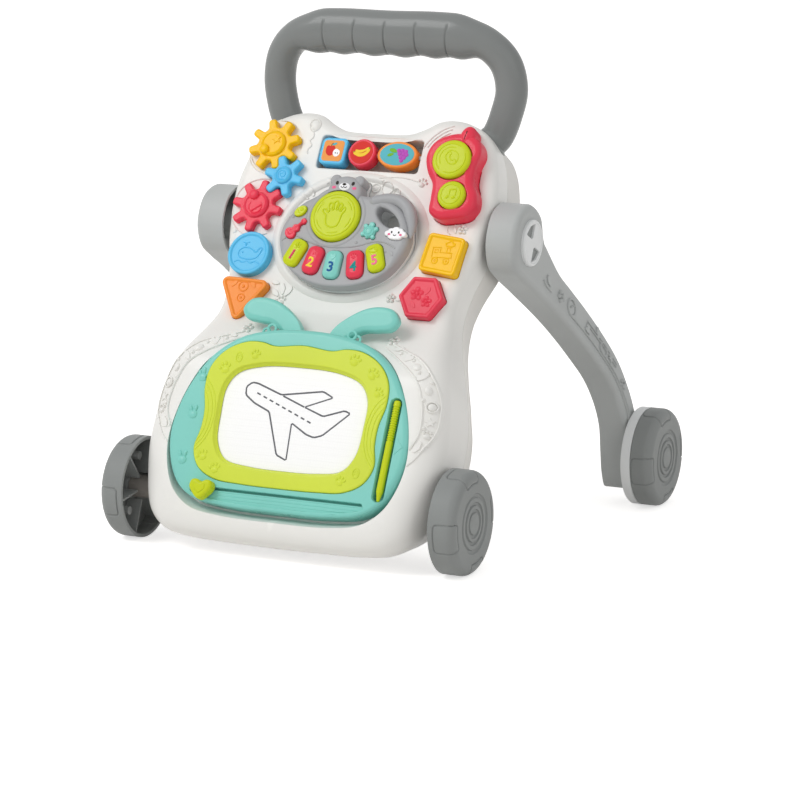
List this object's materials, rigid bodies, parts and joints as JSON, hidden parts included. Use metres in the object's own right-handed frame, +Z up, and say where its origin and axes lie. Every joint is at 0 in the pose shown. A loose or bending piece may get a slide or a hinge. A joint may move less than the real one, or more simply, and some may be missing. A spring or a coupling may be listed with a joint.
{
  "type": "baby walker",
  "caption": "Baby push walker: leaning play body with gears, toy telephone, toy piano, shape blocks and drawing board, a loop handle, two fold-in rear legs and chunky wheels.",
  "frame": {"origin": "middle of the walker's footprint, on the ground", "axes": "+X to the right of a viewer facing the play panel, +Y to the rear, where the child walks, +Z up"},
  "size_m": [0.432, 0.4024, 0.4475],
  "materials": {
    "white": "moulded, satin",
    "rear_white": "moulded, satin",
    "grey": "moulded, fine matt",
    "light_grey": "moulded, satin",
    "piano_grey": "moulded, satin",
    "teal": "moulded, satin",
    "lime": "moulded, satin",
    "red": "moulded, satin",
    "blue": "moulded, satin",
    "yellow": "moulded, satin",
    "orange": "moulded, satin",
    "cloud_white": "moulded, glossy",
    "screen_white": "smooth drawing film",
    "tube_grey": "moulded, satin",
    "tank_blue": "translucent, blow moulded",
    "steel": "drawn rod"
  },
  "bodies": {
    "body": {"front_shell": "white", "rear_shell": "rear_white", "handle": "grey", "front_axle_tube": "tube_grey", "front_axle": "steel", "block_rod": "steel"},
    "left_leg": {"left_leg": "grey", "left_leg_cap": "light_grey", "left_pivot_pin": "light_grey", "left_rear_axle": "steel"},
    "left_rear_wheel": {"left_rear_wheel": "grey", "left_wheel_ring": "light_grey"},
    "left_front_wheel": {"left_front_wheel": "grey"},
    "right_leg": {"right_leg": "grey", "right_leg_cap": "light_grey", "right_pivot_pin": "light_grey", "right_rear_axle": "steel"},
    "right_rear_wheel": {"right_rear_wheel": "grey", "right_wheel_ring": "light_grey"},
    "right_front_wheel": {"right_front_wheel": "grey"},
    "yellow_gear": {"yellow_gear": "yellow"},
    "blue_gear": {"blue_gear": "blue"},
    "red_gear": {"red_gear": "red"},
    "apple_block": {"apple_block": "blue"},
    "banana_block": {"banana_block": "red"},
    "grape_block": {"grape_block": "orange"},
    "phone": {"phone_body": "red"},
    "phone_call_button": {"phone_call_button": "lime"},
    "phone_tune_button": {"phone_tune_button": "lime"},
    "piano": {"piano_base": "light_grey", "piano_cover": "piano_grey", "battery_door": "light_grey", "battery_1": "light_grey", "battery_2": "steel", "battery_3": "light_grey"},
    "drum_button": {"drum_button": "lime"},
    "key_1": {"key_1": "lime"},
    "key_2": {"key_2": "red"},
    "key_3": {"key_3": "teal"},
    "key_4": {"key_4": "red"},
    "key_5": {"key_5": "lime"},
    "guitar_button": {"guitar_button": "red"},
    "turtle_button": {"turtle_button": "teal"},
    "maraca_button": {"maraca_button": "lime"},
    "cloud_button": {"cloud_button": "cloud_white"},
    "power_switch": {"power_switch": "red"},
    "round_block": {"round_block": "blue"},
    "triangle_block": {"triangle_block": "orange"},
    "square_block": {"square_block": "yellow"},
    "hexagon_block": {"hexagon_block": "red"},
    "board": {"board_base": "teal", "board_frame": "lime", "board_screen": "screen_white"},
    "pen": {"pen": "lime"},
    "eraser_slider": {"eraser_slider": "lime"},
    "water_tank": {"water_tank": "tank_blue"},
    "tank_cap": {"tank_cap": "blue"}
  },
  "joints": [
    {"name": "left_leg_fold", "type": "hinge", "parent": "body", "child": "left_leg", "pos_m": [-0.127, -0.01423, 0.2581], "axis": [-1, 0, 0], "range_deg": [0, 52]},
    {"name": "left_rear_wheel_spin", "type": "hinge", "parent": "left_leg", "child": "left_rear_wheel", "pos_m": [-0.2, 0.15717, 0.044], "axis": [1, 0, 0], "continuous": true},
    {"name": "left_front_wheel_spin", "type": "hinge", "parent": "body", "child": "left_front_wheel", "pos_m": [-0.155, -0.15383, 0.044], "axis": [1, 0, 0], "continuous": true},
    {"name": "right_leg_fold", "type": "hinge", "parent": "body", "child": "right_leg", "pos_m": [0.127, -0.01423, 0.2581], "axis": [-1, 0, 0], "range_deg": [0, 52]},
    {"name": "right_rear_wheel_spin", "type": "hinge", "parent": "right_leg", "child": "right_rear_wheel", "pos_m": [0.2, 0.15717, 0.044], "axis": [1, 0, 0], "continuous": true},
    {"name": "right_front_wheel_spin", "type": "hinge", "parent": "body", "child": "right_front_wheel", "pos_m": [0.155, -0.15383, 0.044], "axis": [1, 0, 0], "continuous": true},
    {"name": "yellow_gear_spin", "type": "hinge", "parent": "body", "child": "yellow_gear", "pos_m": [-0.092, -0.01372, 0.32918], "axis": [0, -0.8686, 0.4955], "continuous": true},
    {"name": "blue_gear_spin", "type": "hinge", "parent": "body", "child": "blue_gear", "pos_m": [-0.07397, -0.02858, 0.30312], "axis": [0, -0.8686, 0.4955], "continuous": true},
    {"name": "red_gear_spin", "type": "hinge", "parent": "body", "child": "red_gear", "pos_m": [-0.09405, -0.04279, 0.27821], "axis": [0, -0.8686, 0.4955], "continuous": true},
    {"name": "apple_block_turn", "type": "hinge", "parent": "body", "child": "apple_block", "pos_m": [-0.0343, -0.00863, 0.32397], "axis": [1, 0, 0], "continuous": true},
    {"name": "banana_block_turn", "type": "hinge", "parent": "body", "child": "banana_block", "pos_m": [-0.0066, -0.00863, 0.32397], "axis": [1, 0, 0], "continuous": true},
    {"name": "grape_block_turn", "type": "hinge", "parent": "body", "child": "grape_block", "pos_m": [0.0277, -0.00863, 0.32397], "axis": [1, 0, 0], "continuous": true},
    {"name": "phone_lift", "type": "slide", "parent": "body", "child": "phone", "axis": [0, -0.8686, 0.4955], "range_m": [0, 0.04]},
    {"name": "phone_call_button_press", "type": "slide", "parent": "phone", "child": "phone_call_button", "axis": [0, 0.8686, -0.4955], "range_m": [0, 0.003], "stiffness_N_per_m": 400, "springref_m": -0.001},
    {"name": "phone_tune_button_press", "type": "slide", "parent": "phone", "child": "phone_tune_button", "axis": [0, 0.8686, -0.4955], "range_m": [0, 0.003], "stiffness_N_per_m": 400, "springref_m": -0.001},
    {"name": "piano_lift", "type": "slide", "parent": "body", "child": "piano", "axis": [0, -0.8686, 0.4955], "range_m": [0, 0.05]},
    {"name": "drum_button_press", "type": "slide", "parent": "piano", "child": "drum_button", "axis": [0, 0.8686, -0.4955], "range_m": [0, 0.003], "stiffness_N_per_m": 400, "springref_m": -0.001},
    {"name": "key_1_press", "type": "slide", "parent": "piano", "child": "key_1", "axis": [0, 0.8686, -0.4955], "range_m": [0, 0.003], "stiffness_N_per_m": 400, "springref_m": -0.001},
    {"name": "key_2_press", "type": "slide", "parent": "piano", "child": "key_2", "axis": [0, 0.8686, -0.4955], "range_m": [0, 0.003], "stiffness_N_per_m": 400, "springref_m": -0.001},
    {"name": "key_3_press", "type": "slide", "parent": "piano", "child": "key_3", "axis": [0, 0.8686, -0.4955], "range_m": [0, 0.003], "stiffness_N_per_m": 400, "springref_m": -0.001},
    {"name": "key_4_press", "type": "slide", "parent": "piano", "child": "key_4", "axis": [0, 0.8686, -0.4955], "range_m": [0, 0.003], "stiffness_N_per_m": 400, "springref_m": -0.001},
    {"name": "key_5_press", "type": "slide", "parent": "piano", "child": "key_5", "axis": [0, 0.8686, -0.4955], "range_m": [0, 0.003], "stiffness_N_per_m": 400, "springref_m": -0.001},
    {"name": "guitar_button_press", "type": "slide", "parent": "piano", "child": "guitar_button", "axis": [0, 0.8686, -0.4955], "range_m": [0, 0.003], "stiffness_N_per_m": 400, "springref_m": -0.001},
    {"name": "turtle_button_press", "type": "slide", "parent": "piano", "child": "turtle_button", "axis": [0, 0.8686, -0.4955], "range_m": [0, 0.003], "stiffness_N_per_m": 400, "springref_m": -0.001},
    {"name": "maraca_button_press", "type": "slide", "parent": "piano", "child": "maraca_button", "axis": [0, 0.8686, -0.4955], "range_m": [0, 0.003], "stiffness_N_per_m": 400, "springref_m": -0.001},
    {"name": "cloud_button_press", "type": "slide", "parent": "piano", "child": "cloud_button", "axis": [0, 0.8686, -0.4955], "range_m": [0, 0.003], "stiffness_N_per_m": 400, "springref_m": -0.001},
    {"name": "power_switch_move", "type": "slide", "parent": "piano", "child": "power_switch", "axis": [0, 0.4955, 0.8686], "range_m": [0, 0.004]},
    {"name": "round_block_lift", "type": "slide", "parent": "body", "child": "round_block", "axis": [0, -0.8686, 0.4955], "range_m": [0, 0.03]},
    {"name": "triangle_block_lift", "type": "slide", "parent": "body", "child": "triangle_block", "axis": [0, -0.8686, 0.4955], "range_m": [0, 0.03]},
    {"name": "square_block_lift", "type": "slide", "parent": "body", "child": "square_block", "axis": [0, -0.8686, 0.4955], "range_m": [0, 0.03]},
    {"name": "hexagon_block_lift", "type": "slide", "parent": "body", "child": "hexagon_block", "axis": [0, -0.8686, 0.4955], "range_m": [0, 0.03]},
    {"name": "board_lift", "type": "slide", "parent": "body", "child": "board", "axis": [0, -0.91, 0.4147], "range_m": [0, 0.05]},
    {"name": "pen_lift", "type": "slide", "parent": "board", "child": "pen", "axis": [0, -0.91, 0.4147], "range_m": [0, 0.025]},
    {"name": "eraser_slide", "type": "slide", "parent": "board", "child": "eraser_slider", "axis": [1, 0, 0], "range_m": [0, 0.134]},
    {"name": "water_tank_lift", "type": "slide", "parent": "body", "child": "water_tank", "axis": [0, 0.8686, -0.4955], "range_m": [0, 0.05]},
    {"name": "tank_cap_lift", "type": "slide", "parent": "water_tank", "child": "tank_cap", "axis": [0, 0.8686, -0.4955], "range_m": [0, 0.015]}
  ],
  "couplings": [
    {"joint": "blue_gear_spin", "follows": "yellow_gear_spin", "ratio": -1.3333},
    {"joint": "red_gear_spin", "follows": "yellow_gear_spin", "ratio": 1}
  ]
}
